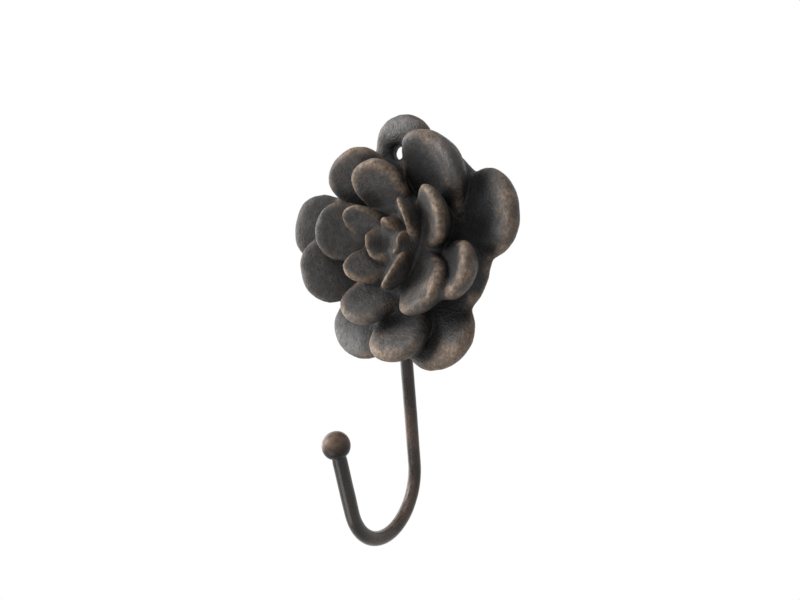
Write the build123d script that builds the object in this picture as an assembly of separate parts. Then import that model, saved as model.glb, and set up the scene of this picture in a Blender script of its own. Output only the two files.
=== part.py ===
"""Rose wall hook: an iron flower casting, a bent hook rod set in its back and a ball tip.

The frame: +Z up, the front faces -Y, the wall is the plane Y = 0, and the origin lies on the
wall on the flower's axis. The casting is drawn in its own flower frame, where X is across,
Y is up and Z is the height off the wall, and is then stood up against the wall.
"""
from build123d import *
import math
import os

# Rod
ROD_DIA = 4.8
ROD_LEAN = 7.7            # degrees off upright: the shank nears the wall on its way down
SHANK_DROP = 87.5         # flower axis down to the start of the bend
BEND_RADIUS = 20.0        # to the rod's centre line
BEND_ANGLE = 169.0
ARM_LENGTH = 25.5         # end of the bend to the centre of the ball
ROD_TOP_DROP = 22.0       # flower axis down to the rod's upper end, inside the casting
FIT_GAP = 0.05            # all round, between the rod and its sockets
BOSS_WALL = 2.4           # of the boss behind the bottom petal that holds the rod
BOSS_HOLD = 13.0          # length of rod inside the boss

# Ball tip
BALL_DIA = 9.2
BALL_SOCKET = 3.2         # depth of the flat-bottomed socket

# Turned back of the flower: a flat pad on the wall and a cone that opens out to the petals
PAD_RADIUS = 20.0
PAD_BEVEL = 2.5
BACK_RADIUS = 60.0        # past the longest petal
BACK_RISE = 12.0          # of the cone, from the pad out to that radius

# Turned front between the petals, heights off the wall
DISH_RADIUS = 38.5
DISH_RIM = 12.6
DISH_FOOT = 7.0           # where the dish meets the core
CORE_RADIUS = 18.0
CORE_HEIGHT = 12.0
HEART_RADIUS = 9.0        # raised middle that carries the inner petals
HEART_HEIGHT = 16.0

# Screw hole through the top petal
HOLE_DIA = 5.0
HOLE_ACROSS = -2.0
HOLE_UP = 35.5

# Petals
BEVEL_DOWN = 1.7          # front rim bevel, down the edge and in over the face,
BEVEL_IN = 2.2            # on a petal of full size
ROOT_SHARE = 0.45         # width of a petal's root against its widest place
TIP_SHARE = 0.86          # length of the rounded tip against half the width
SIDE_BULGE = 0.45         # how far down the sides stay wide
RIM_DEPTH = 6.0           # upright part of the rim; below it the walls lean in to the root
SIDE_LEAN = 0.6           # of the sides, against the tip's
MARGIN = 1.04             # the curved front and the room run a little past the outline

# Each tier: root radius, root height, tip height, lean of the tip wall, roll of the rim, dip along
# and share of the full bevel, and its petals as angle from the right, reach from the flower axis,
# half width, cup across and, for those that don't point to the axis, the twist about the tip
OUTER = dict(
    root=14.0, foot=5.0, lift=19.5, lean=0.55, roll=1.6, dip=3.5, bevel=1.0,
    petals=[(11, 50.2, 16.8, 1.5), (168, 54.0, 14.5, 2.5), (296, 52.5, 15.5, 2.0)],
)
FLAT = dict(
    root=14.0, foot=6.0, lift=17.0, lean=0.2, roll=1.2, dip=0.6, bevel=0.9,
    petals=[(89, 49.0, 13.0, 0.8), (240, 51.0, 15.0, 0.8)],
)
SKIRT = dict(
    root=14.0, foot=5.0, lift=13.5, lean=0.3, roll=1.0, dip=1.0, bevel=0.9,
    petals=[(328, 40.0, 16.0, 0.3)],
)
SECOND = dict(
    root=12.0, foot=7.0, lift=28.0, lean=0.5, roll=1.6, dip=4.0, bevel=1.0,
    petals=[(54, 42.0, 17.0, 5.0), (122, 40.0, 14.5, 2.5), (197, 43.0, 16.0, 1.8),
            (275, 46.0, 13.6, 1.5), (335, 39.5, 11.5, 4.0)],
)
THIRD = dict(
    root=9.0, foot=13.0, lift=30.0, lean=0.45, roll=1.4, dip=3.0, bevel=1.0,
    petals=[(22, 28.0, 12.0, 3.0), (103, 30.0, 11.5, 2.5), (168, 32.0, 13.0, 2.0),
            (247, 34.0, 11.5, 1.2), (308, 33.0, 12.3, 2.5)],
)
INNER = dict(
    root=2.0, foot=7.5, lift=30.5, lean=0.2, roll=1.0, dip=1.5, bevel=0.7,
    petals=[(40, 15.2, 9.0, 1.0, -15), (138, 18.6, 7.6, 1.5, -28), (222, 20.0, 8.4, 1.0),
            (292, 16.0, 10.0, 0.6, 30)],
)
BUD = dict(
    root=-4.0, foot=11.0, lift=24.5, lean=0.0, roll=0.6, dip=2.6, bevel=0.45,
    petals=[(197, 10.0, 7.0, 2.4), (335, 6.5, 6.0, 0.6), (95, 8.0, 3.4, 0.3)],
)

# How the cup, the dip and the rolled tip share out over the front's control net, root to tip
SPAN = (-1.0, -0.5, 0.0, 0.5, 1.0)
CUP_GROWTH = (0.3, 0.6, 1.0, 1.0, 1.0)
DIP_SHARES = (0.0, -1.2, -1.8, 0.6, 0.0)
TIP_ROLL = (0.0, 0.0, 0.0, 0.0, 1.0)


def petal_front(tier, length, half, cup):
    """Curved front of a petal as heights over its plan, one patch on a five by five net."""
    roll = tier["roll"]
    hollow = (roll - 5 * cup) / 3
    net = []
    for share, side in zip(SPAN, (cup - roll, cup, hollow, cup, cup - roll)):
        row = []
        for step, growth, dip, tip in zip(SPAN, CUP_GROWTH, DIP_SHARES, TIP_ROLL):
            along = (1 + step * MARGIN) / 2
            height = tier["foot"] + (tier["lift"] - tier["foot"]) * along
            height += side * growth + tier["dip"] * dip - roll * tip
            row.append(Vector(share * half * MARGIN, length * along, height))
        net.append(row)
    return Face.make_bezier_surface(net)


def petal_outline(half, length):
    """Rounded tip on sides that taper to the root."""
    tip = half * TIP_SHARE
    root = half * ROOT_SHARE
    shoulder = length - tip
    bulge = shoulder * SIDE_BULGE
    arc = EllipticalCenterArc((0, shoulder), half, tip, start_angle=0, arc_size=180)
    left = Bezier((-half, shoulder), (-half, bulge), (-root, 0))
    right = Bezier((root, 0), (half, bulge), (half, shoulder))
    return Face(Wire([arc, left, Line(left @ 1, right @ 0), right]))


def petal_room(tier, length, half):
    """Room for a petal: open round its rim, and below the rim drawn in towards the root."""
    edge = tier["lift"] - RIM_DEPTH
    draw = tier["lean"] * edge
    low = petal_outline(half - SIDE_LEAN * draw, length - draw).outer_wire()
    wide = petal_outline(half * MARGIN, length * MARGIN).outer_wire()
    top = 2 * tier["lift"]
    return Solid.make_loft([low, Pos(0, 0, edge) * wide, Pos(0, 0, top) * wide], ruled=True)


def petal(tier, angle, reach, half, cup, twist=0):
    """One petal, solid from the wall plane up to its curved front, with a bevelled rim."""
    length = reach - tier["root"]
    tall = 2 * tier["lift"]
    below = Solid.extrude(petal_front(tier, length, half, cup), (0, 0, -tall))
    column = Solid.extrude(petal_outline(half, length), (0, 0, tall))
    blank = (below & column).solid()
    front = blank.faces().filter_by(GeomType.BEZIER).sort_by(Axis.Z)[-1]
    rim = [edge for edge in front.edges() if edge.center().Y > FIT_GAP]
    shaped = blank.chamfer(BEVEL_IN * tier["bevel"], BEVEL_DOWN * tier["bevel"], rim, front)
    shaped = shaped & petal_room(tier, length, half)
    swung = Rot(0, 0, twist) * Pos(0, -length, 0) * shaped
    return Rot(0, 0, angle - 90) * Pos(0, reach, 0) * swung


def turned(*points):
    """Solid turned about the flower axis from points of radius and height."""
    return revolve(Plane.XZ * make_face(Polyline(*points, close=True)), Axis.Z)


def core():
    """Turned middle of the flower and the dish that joins the petals."""
    return turned(
        (0, 0),
        (DISH_RADIUS, 0),
        (DISH_RADIUS, DISH_RIM),
        (CORE_RADIUS, DISH_FOOT),
        (CORE_RADIUS, CORE_HEIGHT),
        (HEART_RADIUS, CORE_HEIGHT),
        (HEART_RADIUS, HEART_HEIGHT),
        (0, HEART_HEIGHT),
    )


def before_back():
    """Room in front of the flower's turned back."""
    tall = 2 * SECOND["lift"]
    return turned(
        (0, 0),
        (PAD_RADIUS - PAD_BEVEL, 0),
        (PAD_RADIUS, PAD_BEVEL),
        (BACK_RADIUS, PAD_BEVEL + BACK_RISE),
        (BACK_RADIUS, tall),
        (0, tall),
    )


def rod_path():
    """Centre line of the rod in the side plane, as distance off the wall and height."""
    lean = math.radians(ROD_LEAN)
    kink = Vector(ROD_DIA / 2 + BEND_RADIUS * (1 - math.cos(lean)), -SHANK_DROP)
    climb = (SHANK_DROP - ROD_TOP_DROP) / math.cos(lean)
    top = kink + Vector(math.sin(lean), math.cos(lean)) * climb
    shank = Line(top, kink)
    bend = JernArc(kink, shank % 1, BEND_RADIUS, BEND_ANGLE)
    arm = Line(bend @ 1, (bend @ 1) + (bend % 1) * (ARM_LENGTH - BALL_DIA / 2 + BALL_SOCKET))
    ball = (bend @ 1) + (bend % 1) * ARM_LENGTH
    return shank, bend, arm, ball


SIDE = Plane(origin=(0, 0, 0), x_dir=(0, -1, 0), z_dir=(-1, 0, 0))
os.makedirs("parts", exist_ok=True)

# Rod
shank, bend, arm, ball_centre = rod_path()
path = SIDE * Wire([shank, bend, arm])
rod_top = Plane(origin=path @ 0, z_dir=path % 0)
rod = sweep(rod_top * Circle(ROD_DIA / 2), path=path)
rod_room = Circle(ROD_DIA / 2 + FIT_GAP)

# Flower casting
tiers = (OUTER, FLAT, SKIRT, SECOND, THIRD, INNER, BUD)
petals = [petal(tier, *sizes) for tier in tiers for sizes in tier["petals"]]
flower = Plane.XZ * (core().fuse(*petals) & before_back())
boss_cap = 2 * BOSS_WALL
boss = rod_top * Pos(0, 0, -boss_cap) * extrude(Circle(ROD_DIA / 2 + BOSS_WALL), BOSS_HOLD + boss_cap)
socket = rod_top * extrude(rod_room, SHANK_DROP)
hole = Plane.XZ * Pos(HOLE_ACROSS, HOLE_UP, 0) * extrude(Circle(HOLE_DIA / 2), FLAT["lift"] + HOLE_DIA)
flower = flower + boss - socket - hole

# Ball tip
arm_line = SIDE * arm
arm_end = Plane(origin=arm_line @ 1, z_dir=-(arm_line % 1))
ball = Pos(SIDE.from_local_coords(ball_centre)) * Sphere(BALL_DIA / 2)
ball = ball - arm_end * extrude(rod_room, BALL_DIA)

for name, shape in (("flower_casting", flower), ("hook_rod", rod), ("ball_tip", ball)):
    export_step(shape, f"parts/{name}.step")
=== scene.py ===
"""Dressed view of the rose wall hook: softened sand casting, bent rod and ball tip in worn bronze.

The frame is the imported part's: metres, +Z up, the front faces -Y and the wall is the plane Y = 0.
"""

import math

import bmesh
import bpy
import numpy as np
from mathutils import Matrix, Vector, noise
from mathutils.bvhtree import BVHTree


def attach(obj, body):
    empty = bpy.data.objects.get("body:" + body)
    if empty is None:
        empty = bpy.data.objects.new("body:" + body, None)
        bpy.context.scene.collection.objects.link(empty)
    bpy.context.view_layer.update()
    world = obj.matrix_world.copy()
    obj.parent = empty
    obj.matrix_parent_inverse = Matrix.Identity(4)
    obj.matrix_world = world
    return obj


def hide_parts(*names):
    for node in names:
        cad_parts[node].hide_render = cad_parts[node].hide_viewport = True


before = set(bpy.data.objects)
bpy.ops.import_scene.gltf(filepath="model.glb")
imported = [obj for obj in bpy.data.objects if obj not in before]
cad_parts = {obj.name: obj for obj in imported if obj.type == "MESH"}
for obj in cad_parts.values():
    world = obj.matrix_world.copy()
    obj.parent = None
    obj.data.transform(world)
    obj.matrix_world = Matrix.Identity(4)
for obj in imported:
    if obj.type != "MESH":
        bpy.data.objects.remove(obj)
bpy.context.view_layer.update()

MM = 0.001

# Camera, as the photograph's
CAMERA_PLACE = (0.1282, -0.1957, -0.0308)
CAMERA_TURN = 35.0          # degrees to the object's right
CAMERA_TILT = 2.0           # degrees upwards
CAMERA_LENS = 26.0
CAMERA_NEAR = 0.01
SENSOR_WIDTH = 36.0

# Stage
FLOOR_DROP = 0.60
FLOOR_RADIUS = 0.60
FLOOR_SIDES = 96
FLOOR_COVER = 0.4           # how solid the floor is in its middle
FLOOR_FADE = 0.3            # share of the radius from which it fades out
FLOOR_COLOUR = (0.90, 0.90, 0.90, 1)
FLOOR_ROUGHNESS = 0.9
AMBIENT = 0.13
LIGHT_AIM = (0.0, -0.02, -0.03)

# Soft lights: name, direction from the flower, distance, size and power in watts
LIGHTS = [
    ("key", (-0.75, -0.60, 0.35), 0.9, 0.5, 4.8),
    ("side", (-1.0, -0.05, 0.10), 0.9, 1.0, 6.2),
    ("top", (0.0, -0.35, 1.0), 0.9, 0.5, 1.5),
    ("low", (-0.15, -0.70, -0.80), 0.5, 0.3, 0.63),
]

# Mesh of the pieces
WELD_GAP = 1e-6
CASTING_GRID = 0.72 * MM
ROD_GRID = 0.40 * MM
BALL_GRID = 0.28 * MM
SEAT_SOFTENING = 0.25               # least share of softening, at holes and seats
LUMP_NOISE = (1.0, 2.0, 2)          # fall-off, step in scale and octaves of a cast surface
LUMP_SPREAD = (1.0, 2.3, -1.7)      # direction in which a seed shifts that noise

# Pieces, in millimetres: a pair is the range over which a share grows, or the size and depth of lumps

# Screw hole and rod socket of the casting, which keep their form
HOLE_ACROSS = -2.0
HOLE_UP = 35.5
HOLE_RADIUS = 2.5
OFF_HOLE = (0.5, 2.5)
OFF_ROD = (0.5, 2.0)
SEAT_EASE = 0.25            # makes up for what softening closes

# Rounding of the casting
OUTER_PETALS = (14.0, 38.0)         # distance from the flower's axis
BUD_ROUNDING = 0.22                 # share that the bud gets
VALLEYS = (4.0, 8.0)                # depth below the petals around
VALLEY_CELL = 1.0
VALLEY_REACH = 9.0
FILLET_PASSES = 80
RIM_SWELL = 0.7
RIM_PASSES = 26
DENT_PASSES = 4
CASTING_LUMPS = (7.0, 0.22)

# Dents, pits and knobs of the casting: across, up, reach and depth
DENTS = [
    (-5.5, -2.0, 3.2, 4.0),
    (5.0, 5.6, 2.6, 3.5),
    (4.2, -3.6, 1.6, 1.6),
    (1.6, 5.2, 1.6, -1.8),
    (4.1, -12.0, 1.2, 1.2),
    (19.9, -21.5, 1.5, 1.0),
    (-0.5, 40.5, 2.2, -0.7),
]
DENTED_FROM = 12.0                  # only what stands further off the wall is dented

# Wear, painted shade and painted light of the casting: rims as passes of averaging, full height and share
SHARP_RIMS = (16, 0.45, 0.85)
BROAD_RIMS = (80, 1.2, 0.2)
COPPER_FROM_LEFT = (-40.0, -15.0)          # across: less copper on the left side
LEFT_COPPER_LEAST = 0.35
# painted shade: how much copper is taken off rims that turn from the light
RIM_SHADE_SHARE = 0.8
RUBBING = 0.4
# painted shade: how deep a valley lies before it is painted black
SHADE_DEPTH = (4.0, 16.0)
BUD_RADIUS = 22.0                   # within it the painted shade in the hollows is less black
BUD_SHADE_LEAST = 0.45
SHADOW_SPOT_SHARE = 0.8
# painted light: how squarely a flat petal faces the front before it is painted pale
LIGHT_FACING = (0.7, 0.9)
PAINTED_LIGHT_SHARE = 1.6

# Spots of the finish, of painted shade and of painted light: across, up and reach
PAINTED_LIGHT_SPOTS = [(1.0, 44.0, 10.0), (-24.0, -40.0, 11.0)]            # flat outer petals, painted pale as light on them
PAINTED_SHADOW_SPOTS = [                                                 # faces painted black as shadow
    (27.0, -12.0, 8.0),
    (13.0, 27.0, 8.0),
    (1.5, -25.0, 6.0),
    (36.0, 9.0, 9.0),
]
RIMS_IN_SHADE = [                                                # rims painted with less copper as shade, where they turn from the light
    (34.0, 20.0, 10.0),
    (5.0, 33.0, 8.0),
    (4.0, 46.0, 9.0),
    (16.0, -36.0, 8.0),
    (-1.0, -32.0, 6.0),
    (-24.0, -44.0, 9.0),
    (28.0, 28.0, 7.0),
]
HANDLED = [                                                 # tips and faces that hands rub most
    (25.0, 9.0, 5.0),
    (17.0, -19.0, 6.0),
    (1.0, 27.0, 5.0),
    (-1.0, -42.0, 6.0),
    (23.0, -44.0, 7.0),
    (-11.5, -15.0, 4.0),
]

# Rod
ROD_SWELL = 0.08
ROD_FREE_SWELL = 0.14               # more, on its free length
ROD_OFF_SEATS = (0.3, 2.0)
ROD_PASSES = 12
ROD_LUMPS = (9.0, 0.05)
# painted shade on the rod: under the petals, and on its front arm
ROD_SHADE_UNDER_PETALS = (-74.0, -58.0)   # height
ROD_SHADE_ON_ARM = (28.0, 38.0)        # distance off the wall
UNDER_PETALS_SHADE = 0.8
ARM_SHADE = 0.75

# Ball
BALL_SWELL = 0.25
BALL_OFF_SEAT = (0.3, 1.3)
BALL_PASSES = 8
BALL_LUMPS = (5.0, 0.04)
# painted shade on the ball near the rod
BALL_SHADE_NEAR = (-4.4, -1.6)      # minus the distance to the rod

# Colours, single or from dark to light
COAT = (0.082, 0.077, 0.074, 1), (0.126, 0.117, 0.111, 1)
# painted light on the flat petals that face the front
PAINTED_LIGHT_GREY = (0.18, 0.175, 0.17, 1), (0.26, 0.25, 0.245, 1)
COPPER = (0.20, 0.136, 0.096, 1), (0.44, 0.338, 0.260, 1)
# painted shade in the casting's hollows and gaps
PAINTED_SHADE_BLACK = (0.028, 0.028, 0.029, 1)
ROD_BROWN = (0.045, 0.032, 0.026, 1), (0.210, 0.134, 0.098, 1)
# painted shade on the rod
ROD_SHADE_BLACK = (0.014, 0.014, 0.014, 1)
BALL_BROWN = (0.190, 0.118, 0.083, 1), (0.300, 0.212, 0.162, 1)
# painted shade on the ball
BALL_SHADE_BLACK = (0.012, 0.011, 0.011, 1)

# Grain of the finishes: sizes in millimetres, and the parts of a noise's range that are used
IRON_PATCH = 7.0
IRON_FLECK = 2.2
IRON_STREAK = 1.5
IRON_SAND = 0.8
ROD_PATCH = 9.0
BALL_PATCH = 3.0
SPECK = 0.7
FINE_DETAIL = 2.0
GRAIN_DETAIL = 3.0
GRAIN_ROUGHNESS = 0.55
NARROW = (0.35, 0.65)
MIDDLE = (0.3, 0.7)
WIDE = (0.25, 0.75)

# Gloss and bump of the finishes: roughness from and to, bump as strength and depth in metres
IRON_ROUGHNESS = (0.42, 0.62)
IRON_METALLIC = 0.10
IRON_SPECULAR = 0.28
FLECK_BUMP = (0.40, 0.50 * MM)
SAND_BUMP = (1.0, 0.35 * MM)
ROD_ROUGHNESS = (0.16, 0.26)
ROD_SPECULAR = 0.36
BALL_ROUGHNESS = (0.26, 0.36)
BALL_SPECULAR = 0.22
SPECK_BUMP = (0.25, 0.08 * MM)

# How black the painted shade in the hollows gets, how patches and sand break up the copper, and specks the
# rod's brown
PAINTED_SHADE_RANGE = (0.0, 0.9)
PATCH_SHARE = 1.6
SAND_SHARE = 0.5
WORN = (1.20, 2.15)
SPECK_SHARE = 0.5
WORN_THIN = (0.55, 0.95)

# Colour sockets of Blender's Mix node
MIX_INPUTS = (0, 6, 7)
MIX_RESULT = 2


# Mesh work

def step(values, low, high):
    """Share from 0 to 1 as the values go from low to high."""
    return np.clip((values - low) / (high - low), 0.0, 1.0)


def weld(mesh):
    """Joins the seams between the CAD faces."""
    work = bmesh.new()
    work.from_mesh(mesh)
    bmesh.ops.remove_doubles(work, verts=work.verts, dist=WELD_GAP)
    work.to_mesh(mesh)
    work.free()


def even_copy(node, name, grid):
    """A closed, evenly divided copy of a CAD node, which then stands for that node."""
    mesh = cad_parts[node].data.copy()
    weld(mesh)
    piece = bpy.data.objects.new(name, mesh)
    bpy.context.scene.collection.objects.link(piece)
    remesh = piece.modifiers.new("even", "REMESH")
    remesh.mode = "VOXEL"
    remesh.voxel_size = grid
    graph = bpy.context.evaluated_depsgraph_get()
    even = bpy.data.meshes.new_from_object(piece.evaluated_get(graph))
    piece.modifiers.clear()
    piece.data = even
    even.materials.clear()
    even.shade_smooth()
    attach(piece, "root")
    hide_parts(node)
    return piece


class Skin:
    """Points, neighbours and normals of a mesh, for moves and measures over its whole surface."""

    def __init__(self, mesh):
        self.mesh = mesh
        self.count = len(mesh.vertices)
        self.points = np.empty(self.count * 3, np.float32)
        mesh.vertices.foreach_get("co", self.points)
        self.points = self.points.reshape(-1, 3).astype(float)
        edges = np.empty(len(mesh.edges) * 2, np.int32)
        mesh.edges.foreach_get("vertices", edges)
        edges = edges.reshape(-1, 2)
        self.source = np.concatenate([edges[:, 0], edges[:, 1]])
        self.target = np.concatenate([edges[:, 1], edges[:, 0]])
        self.degree = np.maximum(np.bincount(self.source, minlength=self.count), 1)

    def average(self, values, passes):
        """Values averaged with their neighbours' that many times."""
        for _ in range(passes):
            columns = [
                np.bincount(self.source, column[self.target], self.count) / self.degree
                for column in values.T
            ]
            values = 0.5 * values + 0.5 * np.stack(columns, axis=1)
        return values

    def normals(self):
        """Outward direction at each point."""
        found = np.empty(self.count * 3, np.float32)
        self.mesh.vertex_normals.foreach_get("vector", found)
        return found.reshape(-1, 3).astype(float)

    def place(self, points):
        """Moves the mesh to these points."""
        self.points = points
        self.mesh.vertices.foreach_set("co", points.astype(np.float32).ravel())
        self.mesh.update()

    def keep_before_wall(self):
        """Moves what has come behind the wall plane back onto it."""
        self.place(np.minimum(self.points, (np.inf, 0.0, np.inf)))

    def soften(self, passes, share=1.0):
        """Rounds off the surface, where the share is small only a little."""
        points = self.points
        for _ in range(passes):
            points = points + (self.average(points, 1) - points) * np.reshape(share, (-1, 1))
        self.place(points)

    def swell(self, depth):
        """Moves the surface outwards by that depth in millimetres, one for each point."""
        self.place(self.points + self.normals() * (depth * MM)[:, None])

    def fill(self, passes, share):
        """Fills valleys and inner corners with a fillet, and leaves what stands out as it is."""
        for _ in range(passes):
            normals = self.normals()
            rise = ((self.average(self.points, 1) - self.points) * normals).sum(axis=1)
            self.place(self.points + normals * (np.maximum(rise, 0.0) * share)[:, None])

    def roughen(self, size, depth, seed):
        """Uneven surface: lumps of that size, standing out or in by that depth, in millimetres."""
        offset = Vector([seed * spread for spread in LUMP_SPREAD])
        lumps = [noise.fractal(Vector(point) / (size * MM) + offset, *LUMP_NOISE) for point in self.points]
        self.place(self.points + self.normals() * (np.array(lumps) * (depth * MM))[:, None])

    def press(self, across, up, reach, depth):
        """Presses a round dent into the front, or raises a knob for a depth below zero, in millimetres."""
        right, top = self.points[:, 0] - across * MM, self.points[:, 2] - up * MM
        away = np.hypot(right, top) / (reach * MM)
        share = np.exp(-away ** 2) * (self.points[:, 1] < -DENTED_FROM * MM)
        self.place(self.points + np.outer(share * (depth * MM), (0.0, 1.0, 0.0)))

    def sunk(self, cell, reach):
        """How deep each point lies below what stands within that reach of it in plan, in millimetres."""
        column = np.round((self.points[:, 0] - self.points[:, 0].min()) / (cell * MM)).astype(int)
        row = np.round((self.points[:, 2] - self.points[:, 2].min()) / (cell * MM)).astype(int)
        tops = np.zeros((column.max() + 1, row.max() + 1))
        np.maximum.at(tops, (column, row), -self.points[:, 1])
        steps = int(round(reach / cell))
        near = [
            (right, up)
            for right in range(-steps, steps + 1)
            for up in range(-steps, steps + 1)
            if math.hypot(right, up) <= steps
        ]
        wide = np.pad(tops, steps)
        roof = np.max([np.roll(wide, shift, (0, 1)) for shift in near], axis=0)
        roof = np.mean([np.roll(roof, shift, (0, 1)) for shift in near], axis=0)
        return (roof[column + steps, row + steps] + self.points[:, 1]) / MM

    def clear_of(self, node):
        """How far each point lies from a CAD node, in millimetres."""
        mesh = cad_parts[node].data
        places = [vertex.co for vertex in mesh.vertices]
        tree = BVHTree.FromPolygons(places, [face.vertices for face in mesh.polygons])
        return np.array([tree.find_nearest(point)[3] for point in self.points]) / MM

    def spotted(self, spots):
        """How much each point lies in round spots in plan, each with its place and reach."""
        across, up = self.points[:, 0] / MM, self.points[:, 2] / MM
        return sum(np.exp(-np.hypot(across - x, up - z) ** 2 / reach ** 2) for x, z, reach in spots)

    def relief(self, passes):
        """How far each point stands out of its surroundings, in millimetres, hollows below zero."""
        around = self.average(self.points, passes)
        return ((self.points - around) * self.normals()).sum(axis=1) / MM

    def rims(self, passes, full, share):
        """Share of wear on what stands out, which is whole at the full height in millimetres."""
        return share * step(self.relief(passes), 0.0, full)

    def keep(self, name, values):
        """Keeps a number for each point, for the materials to read."""
        layer = self.mesh.attributes.new(name, "FLOAT", "POINT")
        layer.data.foreach_set("value", values.astype(np.float32))


# Materials

def add(tree, kind, inputs=(), **settings):
    """A node with its settings, and its inputs as constants or links."""
    node = tree.nodes.new(kind)
    for name, value in settings.items():
        setattr(node, name, value)
    for name, value in dict(inputs).items():
        if isinstance(value, bpy.types.NodeSocket):
            tree.links.new(value, node.inputs[name])
        else:
            node.inputs[name].default_value = value
    return node


def grain(tree, size, detail=GRAIN_DETAIL):
    """Noise over the object with features of about that size in millimetres, from 0 to 1."""
    place = add(tree, "ShaderNodeTexCoord")
    node = add(tree, "ShaderNodeTexNoise", {
        "Vector": place.outputs["Object"],
        "Scale": 1.0 / (size * MM),
        "Detail": detail,
        "Roughness": GRAIN_ROUGHNESS,
    })
    return node.outputs["Fac"]


def kept(tree, name):
    """A number that the mesh keeps for each point."""
    return add(tree, "ShaderNodeAttribute", attribute_name=name).outputs["Fac"]


def math_node(tree, operation, first, second):
    """Result of one operation on two numbers."""
    return add(tree, "ShaderNodeMath", {0: first, 1: second}, operation=operation).outputs[0]


def between(tree, value, low, high, out_low=0.0, out_high=1.0):
    """Smooth step from one level to another as the value goes from low to high."""
    node = add(tree, "ShaderNodeMapRange", {
        "Value": value,
        "From Min": low,
        "From Max": high,
        "To Min": out_low,
        "To Max": out_high,
    }, interpolation_type="SMOOTHSTEP")
    return node.outputs["Result"]


def blend(tree, share, first, second):
    """Colour that goes from the first to the second with the share."""
    inputs = dict(zip(MIX_INPUTS, (share, first, second)))
    return add(tree, "ShaderNodeMix", inputs, data_type="RGBA").outputs[MIX_RESULT]


def bump(tree, layers):
    """Normal from several height layers, each a height, its strength and its depth."""
    normal = None
    for height, strength, depth in layers:
        inputs = {"Height": height, "Strength": strength, "Distance": depth}
        if normal is not None:
            inputs["Normal"] = normal
        normal = add(tree, "ShaderNodeBump", inputs).outputs["Normal"]
    return normal


def new_material(name):
    """A material, its node tree and its shader."""
    material = bpy.data.materials.new(name)
    material.use_nodes = True
    tree = material.node_tree
    return material, tree, tree.nodes["Principled BSDF"]


def bronzed_iron():
    """Oil-rubbed bronze over a sand casting: painted black as shade in the hollows, painted pale as light
    on two flat petals, rubbed to copper brown on the rims.
    """
    material, tree, shader = new_material("bronzed_iron")
    patch = grain(tree, IRON_PATCH)
    fleck = grain(tree, IRON_FLECK)
    sand = grain(tree, IRON_SAND, FINE_DETAIL)
    streak = grain(tree, IRON_STREAK, FINE_DETAIL)
    coat = blend(tree, between(tree, fleck, *NARROW), *COAT)
    pale = blend(tree, between(tree, fleck, *NARROW), *PAINTED_LIGHT_GREY)
    # painted light: pale grey on two flat petals that face the front
    face = blend(tree, kept(tree, "painted_light"), coat, pale)
    # painted shade: black laid into the hollows and gaps
    shaded = blend(tree, between(tree, kept(tree, "painted_shade"), *PAINTED_SHADE_RANGE), face, PAINTED_SHADE_BLACK)
    patches = math_node(tree, "MULTIPLY", patch, PATCH_SHARE)
    broken = math_node(tree, "ADD", patches, math_node(tree, "MULTIPLY", sand, SAND_SHARE))
    rubbed = math_node(tree, "ADD", kept(tree, "wear"), broken)
    copper = blend(tree, between(tree, streak, *WIDE), *COPPER)
    colour = blend(tree, between(tree, rubbed, *WORN), shaded, copper)
    tree.links.new(colour, shader.inputs["Base Color"])
    tree.links.new(between(tree, sand, *MIDDLE, *IRON_ROUGHNESS), shader.inputs["Roughness"])
    shader.inputs["Metallic"].default_value = IRON_METALLIC
    shader.inputs["Specular IOR Level"].default_value = IRON_SPECULAR
    normal = bump(tree, [(fleck, *FLECK_BUMP), (sand, *SAND_BUMP)])
    tree.links.new(normal, shader.inputs["Normal"])
    return material


def bronzed_rod():
    """Smooth drawn rod under a dark lacquer, brown where it has worn thin, painted black as shade under
    the petals and on its front arm.
    """
    material, tree, shader = new_material("bronzed_rod")
    patch = grain(tree, ROD_PATCH)
    speck = grain(tree, SPECK)
    thin = math_node(tree, "ADD", patch, math_node(tree, "MULTIPLY", speck, SPECK_SHARE))
    brown = blend(tree, between(tree, thin, *WORN_THIN), *ROD_BROWN)
    # painted shade: black under the petals and on the front arm
    colour = blend(tree, kept(tree, "painted_shade"), brown, ROD_SHADE_BLACK)
    tree.links.new(colour, shader.inputs["Base Color"])
    tree.links.new(between(tree, speck, *MIDDLE, *ROD_ROUGHNESS), shader.inputs["Roughness"])
    shader.inputs["Specular IOR Level"].default_value = ROD_SPECULAR
    tree.links.new(bump(tree, [(speck, *SPECK_BUMP)]), shader.inputs["Normal"])
    return material


def bronzed_ball():
    """The ball's lacquer is rubbed to a warm brown by use, and is painted black as shade where it sits on
    the rod.
    """
    material, tree, shader = new_material("bronzed_ball")
    patch = grain(tree, BALL_PATCH)
    speck = grain(tree, SPECK)
    warm = blend(tree, between(tree, patch, *NARROW), *BALL_BROWN)
    # painted shade: black near the rod
    colour = blend(tree, between(tree, kept(tree, "painted_shade"), *PAINTED_SHADE_RANGE), warm, BALL_SHADE_BLACK)
    tree.links.new(colour, shader.inputs["Base Color"])
    tree.links.new(between(tree, speck, *MIDDLE, *BALL_ROUGHNESS), shader.inputs["Roughness"])
    shader.inputs["Specular IOR Level"].default_value = BALL_SPECULAR
    tree.links.new(bump(tree, [(speck, *SPECK_BUMP)]), shader.inputs["Normal"])
    return material


# Pieces

def finish_piece(piece, material):
    """Gives a piece its material."""
    piece.data.materials.append(material)


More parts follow.
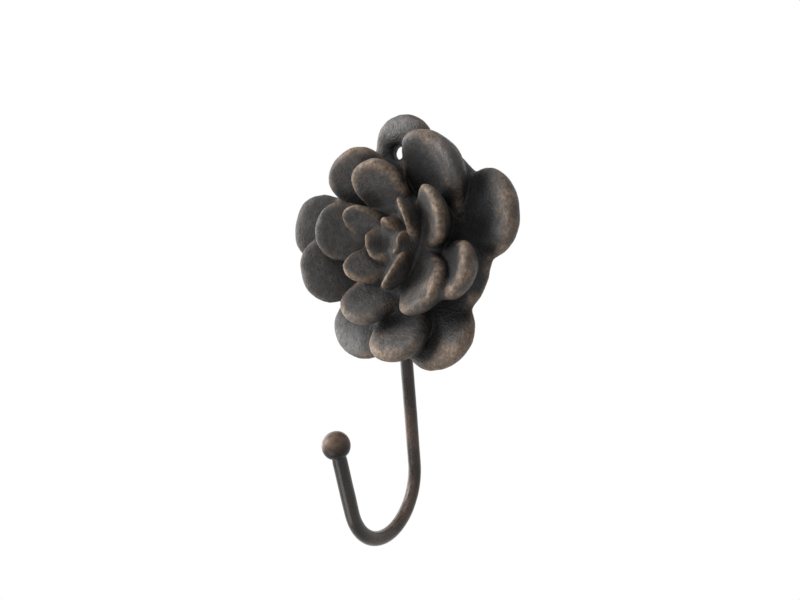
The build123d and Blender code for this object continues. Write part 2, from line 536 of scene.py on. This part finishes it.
def rose():
    """The flower casting with rolled rims, cast unevenness, and measures of wear, painted shade and
    painted light on its skin.
    """
    piece = even_copy("flower_casting", "rose", CASTING_GRID)
    skin = Skin(piece.data)
    across, up = skin.points[:, 0] / MM, skin.points[:, 2] / MM
    from_axis = np.hypot(across, up)
    depth = skin.sunk(VALLEY_CELL, VALLEY_REACH)
    shape_casting(skin, across, up, from_axis, depth)
    wear_shade_and_light(skin, across, from_axis, depth)
    finish_piece(piece, bronzed_iron())


def shape_casting(skin, across, up, from_axis, depth):
    """Fillets, rolled rims, dents and lumps, clear of the screw hole and of the rod's socket."""
    off_hole = np.hypot(across - HOLE_ACROSS, up - HOLE_UP) - HOLE_RADIUS
    free = step(skin.clear_of("hook_rod"), *OFF_ROD) * step(off_hole, *OFF_HOLE)
    round_off = np.maximum(step(from_axis, *OUTER_PETALS).clip(BUD_ROUNDING), step(depth, *VALLEYS))
    skin.fill(FILLET_PASSES, free)
    skin.swell(RIM_SWELL * round_off * free - SEAT_EASE * (1.0 - free))
    skin.soften(RIM_PASSES, round_off * free.clip(SEAT_SOFTENING))
    for dent in DENTS:
        skin.press(*dent)
    skin.soften(DENT_PASSES)
    skin.roughen(*CASTING_LUMPS, seed=1.0)
    skin.keep_before_wall()


def wear_shade_and_light(skin, across, from_axis, depth):
    """Copper on the rims, less on the left side and taken off rims in painted shade, painted shade as
    black in the hollows, and painted light as pale on two flat petals.
    """
    facing = -skin.normals()[:, 1]
    copper_share = step(across, *COPPER_FROM_LEFT).clip(LEFT_COPPER_LEAST)
    # painted shade: copper taken off rims that turn from the light
    for spot in RIMS_IN_SHADE:
        copper_share = copper_share * (1.0 - RIM_SHADE_SHARE * skin.spotted([spot]))
    rim = skin.rims(*SHARP_RIMS) + skin.rims(*BROAD_RIMS)
    skin.keep("wear", rim * copper_share + RUBBING * skin.spotted(HANDLED) * (facing > 0.0))
    # painted shade: black in deep valleys, less in the bud, and on listed shadowed spots
    open_bud = (from_axis / BUD_RADIUS).clip(BUD_SHADE_LEAST, 1.0)
    painted_shade_share = step(depth, *SHADE_DEPTH) * open_bud + SHADOW_SPOT_SHARE * skin.spotted(PAINTED_SHADOW_SPOTS)
    skin.keep("painted_shade", painted_shade_share.clip(0.0, 1.0))
    # painted light: front-facing flat outer petals made pale
    skin.keep("painted_light", step(facing, *LIGHT_FACING) * (PAINTED_LIGHT_SHARE * skin.spotted(PAINTED_LIGHT_SPOTS)).clip(0.0, 1.0))


def hook_rod():
    """The rod, painted blackest as shade under the petals and on its front arm."""
    piece = even_copy("hook_rod", "bent_rod", ROD_GRID)
    skin = Skin(piece.data)
    seat = np.minimum(skin.clear_of("flower_casting"), skin.clear_of("ball_tip"))
    skin.swell(ROD_SWELL + ROD_FREE_SWELL * step(seat, *ROD_OFF_SEATS))
    skin.soften(ROD_PASSES)
    skin.roughen(*ROD_LUMPS, seed=2.0)
    skin.keep_before_wall()
    # painted shade: black under the petals and on the front arm
    shade_under = step(skin.points[:, 2] / MM, *ROD_SHADE_UNDER_PETALS)
    shade_on_arm = step(-skin.points[:, 1] / MM, *ROD_SHADE_ON_ARM)
    skin.keep("painted_shade", np.maximum(UNDER_PETALS_SHADE * shade_under, ARM_SHADE * shade_on_arm))
    finish_piece(piece, bronzed_rod())


def ball_tip():
    """The ball, painted blackest as shade near the rod that it sits on."""
    piece = even_copy("ball_tip", "ball", BALL_GRID)
    skin = Skin(piece.data)
    clear = skin.clear_of("hook_rod")
    free = step(clear, *BALL_OFF_SEAT)
    skin.swell(BALL_SWELL * free)
    skin.soften(BALL_PASSES, free.clip(SEAT_SOFTENING))
    skin.roughen(*BALL_LUMPS, seed=3.0)
    # painted shade: black on the ball's lower part near the rod
    skin.keep("painted_shade", step(-clear, *BALL_SHADE_NEAR))
    finish_piece(piece, bronzed_ball())


# Stage

def white_world():
    """White behind the object and in its reflections, with a soft plain light on it."""
    world = bpy.data.worlds.new("studio")
    bpy.context.scene.world = world
    world.use_nodes = True
    tree = world.node_tree
    background = tree.nodes["Background"]
    path = add(tree, "ShaderNodeLightPath")
    seen = math_node(tree, "MAXIMUM", path.outputs["Is Camera Ray"], path.outputs["Is Glossy Ray"])
    seen = math_node(tree, "MAXIMUM", seen, path.outputs["Is Transmission Ray"])
    strength = between(tree, seen, 0.0, 1.0, AMBIENT, 1.0)
    background.inputs["Color"].default_value = (1, 1, 1, 1)
    tree.links.new(strength, background.inputs["Strength"])


def pale_floor():
    """Round pale floor under the hook that fades out into the white."""
    mesh = bpy.data.meshes.new("floor")
    work = bmesh.new()
    bmesh.ops.create_circle(work, cap_ends=True, segments=FLOOR_SIDES, radius=FLOOR_RADIUS)
    work.to_mesh(mesh)
    work.free()
    floor = bpy.data.objects.new("floor", mesh)
    floor.location = (0.0, 0.0, -FLOOR_DROP)
    bpy.context.scene.collection.objects.link(floor)
    material, tree, shader = new_material("pale_floor")
    shader.inputs["Base Color"].default_value = FLOOR_COLOUR
    shader.inputs["Roughness"].default_value = FLOOR_ROUGHNESS
    place = add(tree, "ShaderNodeTexCoord")
    reach = add(tree, "ShaderNodeVectorMath", {0: place.outputs["Object"]}, operation="LENGTH")
    fade = FLOOR_FADE * FLOOR_RADIUS
    solid = between(tree, reach.outputs["Value"], fade, FLOOR_RADIUS, FLOOR_COVER, 0.0)
    tree.links.new(solid, shader.inputs["Alpha"])
    mesh.materials.append(material)


def soft_light(name, direction, distance, size, power):
    """Square soft light that looks at the flower from that direction."""
    lamp = bpy.data.lights.new(name, "AREA")
    lamp.size = size
    lamp.energy = power
    light = bpy.data.objects.new(name, lamp)
    towards = Vector(direction).normalized()
    light.location = Vector(LIGHT_AIM) + towards * distance
    light.rotation_mode = "QUATERNION"
    light.rotation_quaternion = (-towards).to_track_quat("-Z", "Y")
    light.visible_camera = False
    bpy.context.scene.collection.objects.link(light)


def photo_camera():
    """Camera where the photograph was taken from, level across the picture."""
    lens = bpy.data.cameras.new("photo_camera")
    lens.lens = CAMERA_LENS
    lens.sensor_width = SENSOR_WIDTH
    lens.clip_start = CAMERA_NEAR
    camera = bpy.data.objects.new("photo_camera", lens)
    turn = math.radians(CAMERA_TURN)
    tilt = math.radians(CAMERA_TILT)
    right = Vector((math.cos(turn), math.sin(turn), 0.0))
    ahead = Vector((-math.sin(turn) * math.cos(tilt), math.cos(turn) * math.cos(tilt), math.sin(tilt)))
    up = right.cross(ahead)
    facing = Matrix((right, up, -ahead)).transposed().to_4x4()
    camera.matrix_world = Matrix.Translation(CAMERA_PLACE) @ facing
    bpy.context.scene.collection.objects.link(camera)
    bpy.context.scene.camera = camera


rose()
hook_rod()
ball_tip()

white_world()
pale_floor()
for soft in LIGHTS:
    soft_light(*soft)
photo_camera()
bpy.context.scene.view_settings.view_transform = "Standard"
